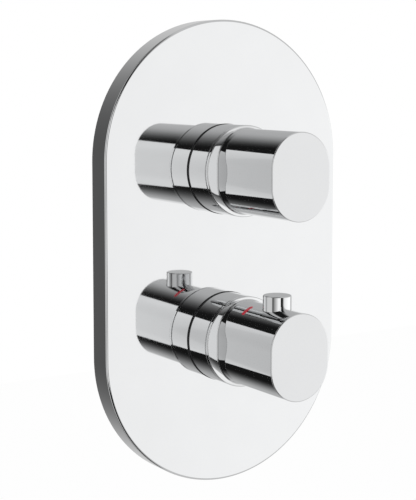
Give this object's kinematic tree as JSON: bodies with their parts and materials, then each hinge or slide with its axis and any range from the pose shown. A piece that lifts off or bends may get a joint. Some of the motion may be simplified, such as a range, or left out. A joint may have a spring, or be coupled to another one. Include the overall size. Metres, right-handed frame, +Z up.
{
  "type": "thermostatic shower valve",
  "caption": "Concealed thermostatic shower valve: oblong chrome cover plate, diverter knob above, temperature knob with safety button and red mark below, brass body behind.",
  "frame": {"origin": "on the finished wall, at the centre of the four wall-fixing holes, midway between the two controls", "axes": "+Z up, -Y out of the wall towards the user, +X to the user's right"},
  "size_m": [0.13, 0.13, 0.22],
  "materials": {
    "chrome": "mirror-polished chrome plate",
    "brass": "cast and machined brass",
    "black_seal": "black elastomer",
    "foam": "closed-cell foam",
    "bracket_steel": "stainless steel",
    "spring_steel": "drawn spring wire",
    "ceramic": "lapped alumina ceramic",
    "grey_plastic": "glass-filled plastic",
    "white_plastic": "white acetal",
    "red_enamel": "red enamel inlay"
  },
  "bodies": {
    "valve": {"face_plate": "chrome", "plate_gasket": "foam", "wall_bracket": "bracket_steel", "body_screws": "bracket_steel", "valve_body": "brass", "gallery_plug": "brass", "upper_seal_ring": "black_seal", "lower_seal_ring": "black_seal", "upper_sleeve": "chrome", "lower_sleeve": "chrome", "upper_collar": "brass", "lower_collar": "brass", "upper_stop_ring": "white_plastic", "lower_stop_ring": "white_plastic", "flow_housing": "brass", "flow_o_ring": "black_seal", "flow_base": "grey_plastic", "disc_seal": "black_seal", "fixed_disc": "ceramic", "thermo_housing": "brass", "thermo_o_rings": "black_seal", "cold_seat": "grey_plastic", "hot_seat": "grey_plastic", "return_spring": "spring_steel", "hot_check_housing": "grey_plastic", "hot_check_spring": "spring_steel", "cold_check_housing": "grey_plastic", "cold_check_spring": "spring_steel", "hot_strainer": "bracket_steel", "cold_strainer": "bracket_steel"},
    "upper_knob": {"upper_knob": "chrome", "upper_grub_screw": "bracket_steel", "upper_adapter": "brass", "upper_adapter_screw": "bracket_steel", "flow_spindle": "brass", "moving_disc": "ceramic"},
    "lower_knob": {"lower_knob": "chrome", "heat_mark": "red_enamel", "lower_grub_screw": "bracket_steel", "lower_adapter": "brass", "lower_adapter_screw": "bracket_steel", "thermo_spindle": "brass", "button_spring": "spring_steel"},
    "safety_button": {"safety_button": "chrome", "button_clip": "spring_steel"},
    "mixing_core": {"regulating_nut": "brass", "nut_clip": "spring_steel", "overload_plunger": "bracket_steel", "overload_spring": "spring_steel", "wax_element": "brass", "mixing_shuttle": "grey_plastic"},
    "hot_poppet": {"hot_poppet": "grey_plastic"},
    "cold_poppet": {"cold_poppet": "grey_plastic"}
  },
  "joints": [
    {"name": "upper_knob_turn", "type": "hinge", "parent": "valve", "child": "upper_knob", "pos_m": [0, 0, 0.04], "axis": [0, -1, 0], "range_deg": [-90, 90]},
    {"name": "lower_knob_turn", "type": "hinge", "parent": "valve", "child": "lower_knob", "pos_m": [0, 0, -0.04], "axis": [0, -1, 0], "range_deg": [-150, 60]},
    {"name": "safety_button_press", "type": "slide", "parent": "lower_knob", "child": "safety_button", "axis": [0, 0, -1], "range_m": [0, 0.0022], "stiffness_N_per_m": 800, "springref_m": -0.0015, "deforming": ["button_spring"]},
    {"name": "mixing_slide", "type": "slide", "parent": "valve", "child": "mixing_core", "axis": [0, -1, 0], "range_m": [-0.00042, 0.00017], "deforming": ["return_spring"]},
    {"name": "hot_check_lift", "type": "slide", "parent": "valve", "child": "hot_poppet", "axis": [1, 0, 0], "range_m": [0, 0.0014], "stiffness_N_per_m": 120, "springref_m": -0.002, "deforming": ["hot_check_spring"]},
    {"name": "cold_check_lift", "type": "slide", "parent": "valve", "child": "cold_poppet", "axis": [-1, 0, 0], "range_m": [0, 0.0014], "stiffness_N_per_m": 120, "springref_m": -0.002, "deforming": ["cold_check_spring"]}
  ],
  "couplings": [
    {"joint": "mixing_slide", "follows": "lower_knob_turn", "m_per_rad": 0.00015915}
  ]
}
